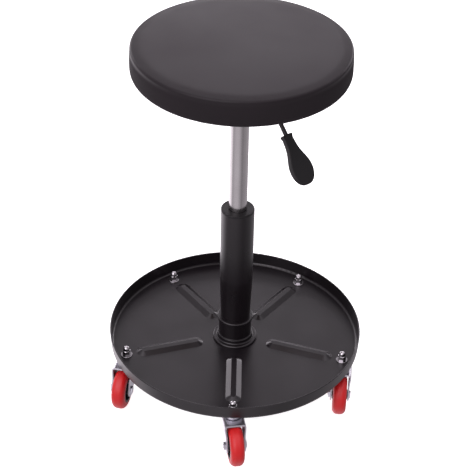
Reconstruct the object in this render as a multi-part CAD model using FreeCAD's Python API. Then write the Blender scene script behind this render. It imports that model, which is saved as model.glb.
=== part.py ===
"""Adjustable swivel stool: padded round seat on a gas lift, over a dished tray on five casters.

Millimetres, +Z up, -Y towards the front caster. The origin is on the floor under the column's axis.
Each named piece goes to its own STEP file in parts/. The model is at rest with the gas lift fully
extended, the valve closed and each caster trailing its own way.
"""
import FreeCAD, Part
import math
import os

# ---- Driving dimensions: overall ----
SEAT_HEIGHT = 600.0           # floor to the cushion's top, lift extended
LIFT_STROKE = 125.0
CUSHION_RADIUS = 159.0
CUSHION_THICKNESS = 45.0
TRAY_RADIUS = 198.0           # outside of the tray's rim
TRAY_DEPTH = 22.0             # tray floor to rim
COLUMN_LENGTH = 260.0

# ---- Casters ----
CASTER_COUNT = 5
FIRST_CASTER_AZIMUTH = -90.0
CASTER_HEADINGS = [-80.0, -94.0, -88.0, -97.0, -102.0]   # which way each caster trails at rest
CASTER_INSET = 20.8           # tray rim to the swivel axis
WHEEL_DIAMETER = 63.5
TREAD_WIDTH = 21.5
TREAD_THICKNESS = 11.0
TREAD_ROUNDING = 8.5
HUB_WIDTH = 24.0
HUB_BOSS_RADIUS = 8.0
HUB_RIM_THICKNESS = 3.0
HUB_WEB_THICKNESS = 7.0
WHEEL_BUSH_RADIUS = 5.0
AXLE_RADIUS = 3.0
CASTER_TRAIL = 28.0           # swivel axis to axle
FORK_SHEET = 2.2
FORK_CROWN_RADIUS = 17.0
FORK_SHOULDER_DROP = 18.0     # crown top to where the legs become upright
FORK_END_RADIUS = 11.0
FORK_SIDE_GAP = 0.5
CROWN_GAP = 2.8               # wheel top to the crown's underside
BEARING_HEIGHT = 6.9          # crown top to the tray's underside
BALL_RADIUS = 2.0
BALL_COUNT = 12
BALL_GAP = 0.1                # ball to the upper race
RACE_SHEET = 2.0
RACE_TOP_RADIUS = 17.8
RACE_BOTTOM_RADIUS = 14.4
RACE_BALL_GAP = 0.4           # balls to the race's skirt
RACE_SKIRT_GAP = 0.7
STEM_RADIUS = 4.0
STEM_HEAD_RADIUS = 7.0
STEM_HEAD_HEIGHT = 4.4
STUD_RADIUS = 3.0
STUD_PROJECTION = 12.0         # stud above the tray floor
WASHER_RADIUS = 9.0
WASHER_THICKNESS = 1.6
NUT_ACROSS_FLATS = 11.0
ACORN_HEX_HEIGHT = 8.2
ACORN_DOME_RADIUS = 5.2
ACORN_HEIGHT = 15.2
AXLE_HEAD_HEIGHT = 2.2
AXLE_NUT_HEIGHT = 3.2
AXLE_TIP = 0.8                # bolt end past its nut

# ---- Tray and hub ----
TRAY_SHEET = 2.0
TRAY_WALL_DRAFT = 1.6         # how far the wall leans out over its height
TRAY_CORNER = 3.5             # inside radius between floor and wall
RIB_HUB_GAP = 18.0            # hub flange to the rib
RIB_NUT_GAP = 7.6            # rib end to the caster washer
RIB_BASE_WIDTH = 24.0
RIB_TOP_WIDTH = 8.0
RIB_HEIGHT = 4.5
RIB_FILLET = 1.8
SOCKET_WALL = 2.7             # at the mouth, round the column's taper
SOCKET_BELOW_TRAY = 13.4
SOCKET_ABOVE_FLOOR = 43.6
SOCKET_BEAD = 2.9             # how far the mouth's bead stands out
SOCKET_BEAD_HEIGHT = 4.6
FLANGE_WIDTH = 9.3            # how far the flange stands out
FLANGE_THICKNESS = 4.0
COLLAR_WIDTH = 2.2            # how far the collar stands out
COLLAR_HEIGHT = 10.6          # above the tray floor

# ---- Column, gas lift ----
COLUMN_RADIUS = 25.4
COLUMN_WALL = 1.6
COLUMN_TAPER_LENGTH = 135.0
COLUMN_TAPER_ANGLE = 2.0      # degrees each side
COLUMN_BELOW_SOCKET = 2.0
END_PLATE_INSET = 1.0
END_PLATE_THICKNESS = 3.0
BUSH_LENGTH = 70.0
BUSH_FLANGE = 3.0
CYLINDER_RADIUS = 13.75
CYLINDER_WALL = 2.0
CYLINDER_CAP = 31.0           # solid top end, which holds the valve
CYLINDER_NOSE = 4.0           # past the taper socket
GUIDE_LENGTH = 15.0
GUIDE_INSET = 1.0
ROD_RADIUS = 5.0
ROD_SPIGOT_RADIUS = 4.0
PISTON_THICKNESS = 12.0
PISTON_SPIGOT_RADIUS = 3.0
PISTON_HEAD_HEIGHT = 2.0
CLIP_THICKNESS = 2.0
CLIP_RADIUS = 8.0
CLIP_GROOVE_DEPTH = 0.8
CLIP_OPENING = 5.0
ROD_TIP = 1.4                 # rod end past its clip
BEARING_RADIUS = 11.0
BEARING_RACE = 1.9
BEARING_BALL_RADIUS = 1.5
BEARING_BALLS = 12
BUFFER_HEIGHT = 15.0
VALVE_RADIUS = 2.5
VALVE_LENGTH = 27.0

# ---- Seat and its mechanism ----
COVER_THICKNESS = 1.2
COVER_TURN_UNDER = 31.0
CUSHION_TOP_ROUNDING = 9.0
CUSHION_BOTTOM_ROUNDING = 6.0
FOAM_SIDE = 6.0               # foam round the board's edge
BOARD_THICKNESS = 12.0
STAPLE_COUNT = 24
STAPLE_WIDTH = 10.0
STAPLE_WIRE = 1.2
STAPLE_CROWN = 0.8
STAPLE_LEG = 6.0
STAPLE_EDGE = 9.0             # cover's raw edge to the staples
LEVER_AZIMUTH = -45.0
PLATE_WIDTH = 150.0
PLATE_SHEET = 2.5
PLATE_CORNER = 14.0
PAN_DEPTH = 27.0
PAN_BOTTOM_WIDTH = 84.0
PAN_TOP_WIDTH = 98.0
PAN_SLOT_WIDTH = 13.0
BOLT_SPACING = 120.0
BOLT_RADIUS = 3.0
BOLT_HEAD_RADIUS = 6.0
BOLT_HEAD_HEIGHT = 4.0
TNUT_FLANGE_RADIUS = 9.0
TNUT_FLANGE = 1.5
TNUT_BARREL_RADIUS = 4.0
TNUT_BARREL = 10.0
TAPER_SOCKET_WALL = 4.25
TAPER_SOCKET_LENGTH = 39.0
TAPER_SOCKET_LIP = 1.8        # above the pan's floor
TAPER_ANGLE = 1.4             # degrees each side
LEVER_ROD_RADIUS = 3.25
LEVER_BELOW_BOARD = 12.2
LEVER_PIVOT = 30.0            # column axis to the pivot
LEVER_INNER_END = 5.0         # past the column axis
LEVER_BEND = 50.5             # column axis to the bend's corner
LEVER_BEND_RADIUS = 9.0
LEVER_DROP_ANGLE = 51.5
LEVER_EYE_RADIUS = 5.2
LEVER_EYE_WIDTH = 15.6
LEVER_GRIP_START = 65.6       # bend's corner to the paddle
LEVER_ROD_IN_GRIP = 34.0
PADDLE_LENGTH = 77.0
PADDLE_NECK_WIDTH = 17.5
PADDLE_WIDTH = 37.0
PADDLE_THICKNESS = 9.0
PADDLE_NECK_LENGTH = 24.0
PADDLE_FLARE_LENGTH = 20.0
PADDLE_ROUNDING = 2.6
BRACKET_SHEET = 2.0
BRACKET_GAP = 0.4
BRACKET_LENGTH = 17.0
BRACKET_EYE_RADIUS = 6.0
PIN_RADIUS = 2.5
PIN_HEAD_RADIUS = 4.0
PIN_HEAD = 1.5

# ---- Clearances ----
RUNNING_FIT = 0.05            # radial, shafts that turn or slide
HOLE_CLEARANCE = 0.2          # radial, bolts in drilled holes
FACE_GAP = 0.1                # faces that turn past each other
VALVE_GAP = 0.15              # valve pin to the lever
BUFFER_GAP = 0.6              # cylinder to buffer with the lift fully down
PISTON_GAP = 0.5              # piston to guide with the lift fully up

# ---- Heights, built up from the floor ----
AXLE_Z = WHEEL_DIAMETER / 2
CROWN_TOP = WHEEL_DIAMETER + CROWN_GAP + FORK_SHEET
CROWN_BOTTOM = CROWN_TOP - FORK_SHEET
TRAY_BOTTOM = CROWN_TOP + BEARING_HEIGHT
TRAY_FLOOR = TRAY_BOTTOM + TRAY_SHEET
TRAY_RIM = TRAY_FLOOR + TRAY_DEPTH
SOCKET_BOTTOM = TRAY_BOTTOM - SOCKET_BELOW_TRAY
SOCKET_TOP = TRAY_FLOOR + SOCKET_ABOVE_FLOOR
COLUMN_BOTTOM = SOCKET_BOTTOM - COLUMN_BELOW_SOCKET
COLUMN_TOP = COLUMN_BOTTOM + COLUMN_LENGTH
TAPER_START = COLUMN_BOTTOM + COLUMN_TAPER_LENGTH
END_PLATE_BOTTOM = COLUMN_BOTTOM + END_PLATE_INSET
END_PLATE_TOP = END_PLATE_BOTTOM + END_PLATE_THICKNESS
BEARING_BOTTOM = END_PLATE_TOP + FACE_GAP
BEARING_TOP = BEARING_BOTTOM + 2 * BEARING_RACE + 2 * BEARING_BALL_RADIUS
BUFFER_TOP = BEARING_TOP + BUFFER_HEIGHT
CYLINDER_BOTTOM = BUFFER_TOP + BUFFER_GAP + LIFT_STROKE
GUIDE_BOTTOM = CYLINDER_BOTTOM + GUIDE_INSET
PISTON_BOTTOM = GUIDE_BOTTOM + GUIDE_LENGTH + PISTON_GAP
PISTON_TOP = PISTON_BOTTOM + PISTON_THICKNESS
CUSHION_BOTTOM = SEAT_HEIGHT - CUSHION_THICKNESS
BOARD_BOTTOM = CUSHION_BOTTOM + COVER_THICKNESS
BOARD_TOP = BOARD_BOTTOM + BOARD_THICKNESS
PLATE_BOTTOM = BOARD_BOTTOM - PLATE_SHEET
PAN_FLOOR = BOARD_BOTTOM - PAN_DEPTH
LEVER_Z = BOARD_BOTTOM - LEVER_BELOW_BOARD
TAPER_TOP = PAN_FLOOR + TAPER_SOCKET_LIP
TAPER_BOTTOM = TAPER_TOP - TAPER_SOCKET_LENGTH
CYLINDER_TOP = TAPER_TOP + CYLINDER_NOSE
CHAMBER_TOP = CYLINDER_TOP - CYLINDER_CAP
VALVE_TOP = LEVER_Z - LEVER_ROD_RADIUS - VALVE_GAP

# ---- Radii and half widths that follow ----
CASTER_CIRCLE = TRAY_RADIUS - CASTER_INSET
LEG_INSIDE = HUB_WIDTH / 2 + FORK_SIDE_GAP
LEG_OUTSIDE = LEG_INSIDE + FORK_SHEET
COLUMN_BORE = COLUMN_RADIUS - COLUMN_WALL
COLUMN_SLOPE = math.tan(math.radians(COLUMN_TAPER_ANGLE))
SOCKET_RADIUS = COLUMN_RADIUS - (TAPER_START - SOCKET_TOP) * COLUMN_SLOPE + SOCKET_WALL
SOCKET_BEAD_RADIUS = SOCKET_RADIUS + SOCKET_BEAD
FLANGE_RADIUS = SOCKET_RADIUS + FLANGE_WIDTH
COLLAR_RADIUS = SOCKET_RADIUS + COLLAR_WIDTH
RIB_INNER_RADIUS = FLANGE_RADIUS + RIB_HUB_GAP
TAPER_SOCKET_RADIUS = CYLINDER_RADIUS + TAPER_SOCKET_WALL
CYLINDER_BORE = CYLINDER_RADIUS - CYLINDER_WALL
TAPER_NOSE_RADIUS = CYLINDER_RADIUS - TAPER_SOCKET_LENGTH * math.tan(math.radians(TAPER_ANGLE))
BOARD_RADIUS = CUSHION_RADIUS - COVER_THICKNESS - FOAM_SIDE
EYE_HALF = LEVER_EYE_WIDTH / 2
EAR_INSIDE = EYE_HALF + BRACKET_GAP
EAR_OUTSIDE = EAR_INSIDE + BRACKET_SHEET

UP = FreeCAD.Vector(0, 0, 1)
ORIGIN = FreeCAD.Vector(0, 0, 0)
OVERSHOOT = 1.0               # how far a cutting tool runs past the face it cuts


# ---- Shape helpers ----
def in_xz(a, b):
    return FreeCAD.Vector(a, 0, b)


def in_xy(a, b):
    return FreeCAD.Vector(a, b, 0)


def in_yz(a, b):
    return FreeCAD.Vector(0, a, b)


def rounded_face(corners, place):
    """Face whose outline runs through corners (a, b, radius), each turned by a tangent arc."""
    starts, middles, ends = [], [], []
    for index, (a, b, radius) in enumerate(corners):
        corner = place(a, b)
        before = place(*corners[index - 1][:2]) - corner
        after = place(*corners[(index + 1) % len(corners)][:2]) - corner
        before.normalize()
        after.normalize()
        half = before.getAngle(after) / 2
        inward = before + after
        if radius == 0:
            starts.append(corner)
            middles.append(None)
            ends.append(corner)
            continue
        inward.normalize()
        reach = radius / math.tan(half)
        starts.append(corner + before * reach)
        ends.append(corner + after * reach)
        middles.append(corner + inward * (radius / math.sin(half) - radius))
    edges = []
    for index, middle in enumerate(middles):
        if middle is not None:
            edges.append(Part.Arc(starts[index], middle, ends[index]).toShape())
        following = starts[(index + 1) % len(starts)]
        if ends[index].distanceToPoint(following) > 1e-6:
            edges.append(Part.LineSegment(ends[index], following).toShape())
    return Part.Face(Part.Wire(edges))


def turned(corners):
    """Solid of revolution about Z from (radius, height, rounding) corners."""
    return rounded_face(corners, in_xz).revolve(ORIGIN, UP, 360)


def ring(outer, inner, bottom, top):
    return turned([(inner, bottom, 0), (outer, bottom, 0), (outer, top, 0), (inner, top, 0)])


def disc(radius, bottom, top):
    return Part.makeCylinder(radius, top - bottom, FreeCAD.Vector(0, 0, bottom))


def hexagon(across_flats, bottom, top):
    corner = across_flats / 2 / math.cos(math.radians(30))
    points = [in_xy(corner * math.cos(math.radians(60 * n)), corner * math.sin(math.radians(60 * n)))
              for n in range(6)]
    face = Part.Face(Part.makePolygon(points + points[:1]))
    face.translate(FreeCAD.Vector(0, 0, bottom))
    return face.extrude(UP * (top - bottom))


def fuse_all(shapes):
    result = shapes[0]
    for shape in shapes[1:]:
        result = result.fuse(shape)
    return result.removeSplitter()


def turn(shape, angle, axis=UP, centre=ORIGIN):
    copy = shape.copy()
    copy.rotate(centre, axis, angle)
    return copy


def move(shape, x, y, z):
    copy = shape.copy()
    copy.translate(FreeCAD.Vector(x, y, z))
    return copy


def along_y(shape):
    """Lay a shape built about Z on its side, about Y."""
    return turn(shape, -90, FreeCAD.Vector(1, 0, 0))


def round_edges(shape, radius, wanted):
    edges = [edge for edge in shape.Edges if wanted(edge)]
    return shape.makeFillet(radius, edges)


def at_height(edge, z):
    return abs(edge.BoundBox.ZMin - z) < 1e-4 and abs(edge.BoundBox.ZMax - z) < 1e-4


def export(name, shapes):
    solids = shapes if isinstance(shapes, list) else [shapes]
    for solid in solids:
        if not solid.isValid() or not solid.Solids:
            raise ValueError(name + " is not a valid solid")
    shape = solids[0] if len(solids) == 1 else Part.makeCompound(solids)
    shape.exportStep("parts/" + name + ".step")


# ---- Tray and hub ----
def caster_azimuth(index):
    return FIRST_CASTER_AZIMUTH + index * 360.0 / CASTER_COUNT


def at_casters(shape):
    """One copy of a shape built on the Z axis at each caster's swivel axis."""
    return [turn(move(shape, CASTER_CIRCLE, 0, 0), caster_azimuth(n)) for n in range(CASTER_COUNT)]


def rib(bottom):
    """Raised bead along +X: a flat-topped ridge with sloping sides and round ends."""
    wide, narrow = RIB_BASE_WIDTH / 2, RIB_TOP_WIDTH / 2
    first = RIB_INNER_RADIUS + wide
    last = CASTER_CIRCLE - WASHER_RADIUS - RIB_NUT_GAP - wide
    ends = [Part.makeCone(wide, narrow, RIB_HEIGHT, in_xz(x, bottom)) for x in (first, last)]
    section = rounded_face([(-wide, bottom, 0), (wide, bottom, 0),
                            (narrow, bottom + RIB_HEIGHT, 0), (-narrow, bottom + RIB_HEIGHT, 0)], in_yz)
    section.translate(in_xz(first, 0))
    return fuse_all(ends + [section.extrude(in_xz(last - first, 0))])


def column_radius(z):
    """Outside of the column, which tapers below TAPER_START."""
    return COLUMN_RADIUS - max(0, TAPER_START - z) * COLUMN_SLOPE


def make_tray():
    outside = TRAY_RADIUS - TRAY_WALL_DRAFT
    rim_round = TRAY_SHEET * 0.45
    dish = turned([(SOCKET_RADIUS, TRAY_BOTTOM, 0),
                   (outside, TRAY_BOTTOM, TRAY_CORNER + TRAY_SHEET),
                   (TRAY_RADIUS, TRAY_RIM, rim_round),
                   (TRAY_RADIUS - TRAY_SHEET, TRAY_RIM, rim_round),
                   (outside - TRAY_SHEET, TRAY_FLOOR, TRAY_CORNER),
                   (SOCKET_RADIUS, TRAY_FLOOR, 0)])
    side_run = (RIB_BASE_WIDTH - RIB_TOP_WIDTH) / 2
    sheet_drop = TRAY_SHEET * math.hypot(side_run, RIB_HEIGHT) / side_run
    raised = [turn(rib(TRAY_FLOOR), caster_azimuth(n)) for n in range(CASTER_COUNT)]
    hollows = [turn(rib(TRAY_FLOOR - sheet_drop), caster_azimuth(n)) for n in range(CASTER_COUNT)]
    tray = fuse_all([dish] + raised)
    rib_end = CASTER_CIRCLE - WASHER_RADIUS - RIB_NUT_GAP + OVERSHOOT

    def on_rib(edge):
        foot = at_height(edge, TRAY_FLOOR)
        middle = edge.valueAt((edge.FirstParameter + edge.LastParameter) / 2)
        off_axis = math.hypot(middle.x, middle.y)
        inside = SOCKET_RADIUS + OVERSHOOT < off_axis < rib_end
        return inside and (foot or at_height(edge, TRAY_FLOOR + RIB_HEIGHT))

    tray = round_edges(tray, RIB_FILLET, on_rib)
    stud_hole = disc(STUD_RADIUS + HOLE_CLEARANCE, TRAY_BOTTOM - OVERSHOOT, TRAY_FLOOR + OVERSHOOT)
    return tray.cut(Part.makeCompound(hollows + at_casters(stud_hole)))


def make_hub_socket():
    collar_top = TRAY_FLOOR + COLLAR_HEIGHT
    flange_top = TRAY_FLOOR + FLANGE_THICKNESS
    bead = SOCKET_BEAD_HEIGHT
    return turned([(column_radius(SOCKET_BOTTOM), SOCKET_BOTTOM, 0),
                   (SOCKET_RADIUS, SOCKET_BOTTOM, 1.0),
                   (SOCKET_RADIUS, TRAY_FLOOR, 0),
                   (FLANGE_RADIUS, TRAY_FLOOR, 0),
                   (FLANGE_RADIUS, flange_top, FLANGE_THICKNESS * 0.6),
                   (COLLAR_RADIUS, flange_top, 2.0),
                   (COLLAR_RADIUS, collar_top, 1.2),
                   (SOCKET_RADIUS, collar_top, 0.8),
                   (SOCKET_RADIUS, SOCKET_TOP - bead, 1.0),
                   (SOCKET_BEAD_RADIUS, SOCKET_TOP - bead, bead * 0.3),
                   (SOCKET_BEAD_RADIUS, SOCKET_TOP, bead * 0.45),
                   (column_radius(SOCKET_TOP), SOCKET_TOP, 0)])


# ---- Column ----
def make_column_tube():
    return turned([(column_radius(COLUMN_BOTTOM) - COLUMN_WALL, COLUMN_BOTTOM, 0),
                   (column_radius(COLUMN_BOTTOM), COLUMN_BOTTOM, 0),
                   (COLUMN_RADIUS, TAPER_START, 0),
                   (COLUMN_RADIUS, COLUMN_TOP, 0),
                   (COLUMN_BORE, COLUMN_TOP, 0),
                   (COLUMN_BORE, TAPER_START, 0)])


def make_column_end_plate():
    hole = ROD_SPIGOT_RADIUS + RUNNING_FIT
    return turned([(hole, END_PLATE_BOTTOM, 0),
                   (column_radius(END_PLATE_BOTTOM) - COLUMN_WALL, END_PLATE_BOTTOM, 0),
                   (column_radius(END_PLATE_TOP) - COLUMN_WALL, END_PLATE_TOP, 0),
                   (hole, END_PLATE_TOP, 0)])


def make_guide_bush():
    bore = CYLINDER_RADIUS + RUNNING_FIT
    top = COLUMN_TOP + BUSH_FLANGE
    return turned([(bore, COLUMN_TOP - BUSH_LENGTH, 1.0),
                   (COLUMN_BORE, COLUMN_TOP - BUSH_LENGTH, 1.0),
                   (COLUMN_BORE, COLUMN_TOP, 0),
                   (COLUMN_RADIUS, COLUMN_TOP, 0),
                   (COLUMN_RADIUS, top, 1.4),
                   (bore, top, 0.8)])


# ---- Rod, piston and what holds them in the column ----
def make_piston_rod():
    clip_top = END_PLATE_BOTTOM - FACE_GAP
    clip_bottom = clip_top - CLIP_THICKNESS
    groove = ROD_SPIGOT_RADIUS - CLIP_GROOVE_DEPTH
    tip = clip_bottom - ROD_TIP
    head_top = PISTON_TOP + PISTON_HEAD_HEIGHT
    return turned([(0, tip, 0),
                   (ROD_SPIGOT_RADIUS, tip, 0.6),
                   (ROD_SPIGOT_RADIUS, clip_bottom, 0),
                   (groove, clip_bottom, 0),
                   (groove, clip_top, 0),
                   (ROD_SPIGOT_RADIUS, clip_top, 0),
                   (ROD_SPIGOT_RADIUS, BEARING_TOP, 0),
                   (ROD_RADIUS, BEARING_TOP, 0),
                   (ROD_RADIUS, PISTON_BOTTOM, 0),
                   (PISTON_SPIGOT_RADIUS, PISTON_BOTTOM, 0),
                   (PISTON_SPIGOT_RADIUS, PISTON_TOP, 0),
                   (ROD_RADIUS, PISTON_TOP, 0),
                   (ROD_RADIUS, head_top, 0.6),
                   (0, head_top, 0)])


def make_piston():
    edge = CYLINDER_BORE - RUNNING_FIT
    middle = (PISTON_BOTTOM + PISTON_TOP) / 2
    seal_groove = 1.2
    return turned([(PISTON_SPIGOT_RADIUS, PISTON_BOTTOM, 0),
                   (edge, PISTON_BOTTOM, 0.8),
                   (edge, middle - seal_groove, 0),
                   (edge - seal_groove, middle - seal_groove, 0),
                   (edge - seal_groove, middle + seal_groove, 0),
                   (edge, middle + seal_groove, 0),
                   (edge, PISTON_TOP, 0.8),
                   (PISTON_SPIGOT_RADIUS, PISTON_TOP, 0)])


def make_rod_clip():
    top = END_PLATE_BOTTOM - FACE_GAP
    bottom = top - CLIP_THICKNESS
    clip = ring(CLIP_RADIUS, ROD_SPIGOT_RADIUS - CLIP_GROOVE_DEPTH, bottom, top)
    mouth = Part.makeBox(CLIP_RADIUS * 2, CLIP_OPENING, CLIP_THICKNESS * 2,
                         FreeCAD.Vector(0, -CLIP_OPENING / 2, bottom - CLIP_THICKNESS / 2))
    return clip.cut(mouth)


def make_thrust_bearing():
    ball_z = BEARING_BOTTOM + BEARING_RACE + BEARING_BALL_RADIUS
    pitch = (BEARING_RADIUS + ROD_SPIGOT_RADIUS) / 2
    ball = Part.makeSphere(BEARING_BALL_RADIUS, in_xz(pitch, ball_z))
    balls = [turn(ball, n * 360.0 / BEARING_BALLS) for n in range(BEARING_BALLS)]
    lower = ring(BEARING_RADIUS, ROD_SPIGOT_RADIUS, BEARING_BOTTOM, BEARING_BOTTOM + BEARING_RACE)
    upper = ring(BEARING_RADIUS, ROD_SPIGOT_RADIUS, BEARING_TOP - BEARING_RACE, BEARING_TOP)
    return [lower, upper] + balls


def make_rubber_buffer():
    return turned([(ROD_RADIUS, BEARING_TOP, 0),
                   (BEARING_RADIUS, BEARING_TOP, 1.0),
                   (BEARING_RADIUS, BUFFER_TOP, 2.0),
                   (ROD_RADIUS, BUFFER_TOP, 0)])


# ---- Gas cylinder, which rises and turns with the seat ----
def make_gas_cylinder():
    pin_hole = VALVE_RADIUS + RUNNING_FIT
    return turned([(CYLINDER_BORE, CYLINDER_BOTTOM, 0),
                   (CYLINDER_RADIUS, CYLINDER_BOTTOM, 1.0),
                   (CYLINDER_RADIUS, TAPER_BOTTOM, 0),
                   (TAPER_NOSE_RADIUS, TAPER_TOP, 0),
                   (TAPER_NOSE_RADIUS, CYLINDER_TOP, 1.5),
                   (pin_hole, CYLINDER_TOP, 0),
                   (pin_hole, CHAMBER_TOP, 0),
                   (CYLINDER_BORE, CHAMBER_TOP, 2.0)])


def make_cylinder_guide():
    return ring(CYLINDER_BORE, ROD_RADIUS + RUNNING_FIT, GUIDE_BOTTOM, GUIDE_BOTTOM + GUIDE_LENGTH)


def make_valve_pin():
    return turned([(0, VALVE_TOP - VALVE_LENGTH, 0),
                   (VALVE_RADIUS, VALVE_TOP - VALVE_LENGTH, 0.4),
                   (VALVE_RADIUS, VALVE_TOP, 0.8),
                   (0, VALVE_TOP, 0)])


# ---- Seat plate; built with the lever along +X, then turned to LEVER_AZIMUTH ----
def at_bolts(shape):
    half = BOLT_SPACING / 2
    return [move(shape, x, y, 0) for x in (-half, half) for y in (-half, half)]


def square_loft(bottom_width, top_width, bottom, top):
    wires = []
    for width, z in ((bottom_width, bottom), (top_width, top)):
        half = width / 2
        corners = [(-half, -half, PLATE_CORNER), (half, -half, PLATE_CORNER),
                   (half, half, PLATE_CORNER), (-half, half, PLATE_CORNER)]
        wire = rounded_face(corners, in_xy).OuterWire
        wire.translate(FreeCAD.Vector(0, 0, z))
        wires.append(wire)
    return Part.makeLoft(wires, True, True)


def make_mount_plate():
    pan_bottom = PAN_FLOOR - PLATE_SHEET
    flange = square_loft(PLATE_WIDTH, PLATE_WIDTH, PLATE_BOTTOM, BOARD_BOTTOM)
    outside = square_loft(PAN_BOTTOM_WIDTH, PAN_TOP_WIDTH, pan_bottom, PLATE_BOTTOM)
    grow = (PAN_TOP_WIDTH - PAN_BOTTOM_WIDTH) / (PLATE_BOTTOM - pan_bottom)
    narrow = PAN_BOTTOM_WIDTH + grow * PLATE_SHEET - 2 * PLATE_SHEET
    wide = narrow + grow * (BOARD_BOTTOM - PAN_FLOOR)
    inside = square_loft(narrow, wide, PAN_FLOOR, BOARD_BOTTOM)
    plate = flange.fuse(outside).cut(inside)
    socket_hole = disc(TAPER_SOCKET_RADIUS, pan_bottom - OVERSHOOT, PAN_FLOOR + OVERSHOOT)
    slot_bottom = PAN_FLOOR + PLATE_SHEET
    slot = Part.makeBox(PAN_TOP_WIDTH / 2, PAN_SLOT_WIDTH, PLATE_BOTTOM - slot_bottom,
                        FreeCAD.Vector(LEVER_PIVOT, -PAN_SLOT_WIDTH / 2, slot_bottom))
    bolt_hole = disc(BOLT_RADIUS + HOLE_CLEARANCE, PLATE_BOTTOM - OVERSHOOT, BOARD_BOTTOM + OVERSHOOT)
    return plate.cut(Part.makeCompound([socket_hole, slot] + at_bolts(bolt_hole))).removeSplitter()


def make_taper_socket():
    return turned([(CYLINDER_RADIUS, TAPER_BOTTOM, 0),
                   (TAPER_SOCKET_RADIUS, TAPER_BOTTOM, 1.5),
                   (TAPER_SOCKET_RADIUS, TAPER_TOP, 0.8),
                   (TAPER_NOSE_RADIUS, TAPER_TOP, 0)])


def make_lever_bracket():
    """Saddle on the pan's floor with two ears that carry the pivot pin."""
    first = LEVER_PIVOT - BRACKET_LENGTH / 2
    last = first + BRACKET_LENGTH
    ear = rounded_face([(first, PAN_FLOOR, 0), (last, PAN_FLOOR, 0),
                        (LEVER_PIVOT + BRACKET_EYE_RADIUS, LEVER_Z + BRACKET_EYE_RADIUS, 5.9),
                        (LEVER_PIVOT - BRACKET_EYE_RADIUS, LEVER_Z + BRACKET_EYE_RADIUS, 5.9)], in_xz)
    ear = ear.extrude(FreeCAD.Vector(0, BRACKET_SHEET, 0))
    near = move(ear, 0, -EAR_OUTSIDE, 0)
    far = move(ear, 0, EAR_INSIDE, 0)
    foot = Part.makeBox(BRACKET_LENGTH, 2 * EAR_OUTSIDE, BRACKET_SHEET,
                        FreeCAD.Vector(first, -EAR_OUTSIDE, PAN_FLOOR))
    bracket = fuse_all([near, far, foot])
    pin_hole = move(along_y(disc(PIN_RADIUS, -EAR_OUTSIDE - OVERSHOOT, EAR_OUTSIDE + OVERSHOOT)),
                    LEVER_PIVOT, 0, LEVER_Z)
    socket_room = disc(TAPER_SOCKET_RADIUS + HOLE_CLEARANCE, PAN_FLOOR - OVERSHOOT, TAPER_TOP + OVERSHOOT)
    return bracket.cut(pin_hole).cut(socket_room)


def make_lever_pin():
    end = EAR_OUTSIDE + PIN_HEAD
    pin = turned([(0, -end, 0), (PIN_HEAD_RADIUS, -end, 0.5), (PIN_HEAD_RADIUS, -EAR_OUTSIDE, 0),
                  (PIN_RADIUS, -EAR_OUTSIDE, 0), (PIN_RADIUS, EAR_OUTSIDE, 0),
                  (PIN_HEAD_RADIUS, EAR_OUTSIDE, 0), (PIN_HEAD_RADIUS, end, 0.5), (0, end, 0)])
    return move(along_y(pin), LEVER_PIVOT, 0, LEVER_Z)


def make_plate_bolts():
    head_bottom = PLATE_BOTTOM - BOLT_HEAD_HEIGHT
    tip = BOARD_TOP - 0.5
    socket = hexagon(BOLT_RADIUS * 1.3, head_bottom - OVERSHOOT, head_bottom + BOLT_HEAD_HEIGHT / 2)
    bolt = turned([(0, head_bottom, 0),
                   (BOLT_HEAD_RADIUS, head_bottom, 2.5),
                   (BOLT_HEAD_RADIUS, PLATE_BOTTOM, 0),
                   (BOLT_RADIUS, PLATE_BOTTOM, 0),
                   (BOLT_RADIUS, tip, 0.5),
                   (0, tip, 0)])
    return at_bolts(bolt.cut(socket))


def make_t_nuts():
    nut = turned([(BOLT_RADIUS, BOARD_TOP - TNUT_BARREL, 0),
                  (TNUT_BARREL_RADIUS, BOARD_TOP - TNUT_BARREL, 0),
                  (TNUT_BARREL_RADIUS, BOARD_TOP, 0),
                  (TNUT_FLANGE_RADIUS, BOARD_TOP, 0),
                  (TNUT_FLANGE_RADIUS, BOARD_TOP + TNUT_FLANGE, 0.5),
                  (BOLT_RADIUS, BOARD_TOP + TNUT_FLANGE, 0)])
    return at_bolts(nut)


# ---- Lever, along +X before it is turned ----
def drop_direction():
    angle = math.radians(LEVER_DROP_ANGLE)
    return in_xz(math.cos(angle), -math.sin(angle))


def make_lever_rod():
    corner = in_xz(LEVER_BEND, LEVER_Z)
    inner = in_xz(-LEVER_INNER_END, LEVER_Z)
    down = drop_direction()
    outer = corner + down * (LEVER_GRIP_START + LEVER_ROD_IN_GRIP)
    reach = LEVER_BEND_RADIUS * math.tan(math.radians(LEVER_DROP_ANGLE) / 2)
    bend_start = in_xz(LEVER_BEND - reach, LEVER_Z)
    bend_end = corner + down * reach
    half_turn = math.radians(LEVER_DROP_ANGLE) / 2
    centre = bend_start - UP * LEVER_BEND_RADIUS
    middle = centre + in_xz(math.sin(half_turn), math.cos(half_turn)) * LEVER_BEND_RADIUS
    path = Part.Wire([Part.LineSegment(inner, bend_start).toShape(),
                      Part.Arc(bend_start, middle, bend_end).toShape(),
                      Part.LineSegment(bend_end, outer).toShape()])
    section = Part.Wire(Part.makeCircle(LEVER_ROD_RADIUS, inner, in_xz(1, 0)))
    rod = path.makePipeShell([section], True, False)
    eye = move(along_y(disc(LEVER_EYE_RADIUS, -EYE_HALF, EYE_HALF)), LEVER_PIVOT, 0, LEVER_Z)
    hole = move(along_y(disc(PIN_RADIUS + RUNNING_FIT, -EYE_HALF - OVERSHOOT, EYE_HALF + OVERSHOOT)),
                LEVER_PIVOT, 0, LEVER_Z)
    return rod.fuse(eye).cut(hole)


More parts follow.
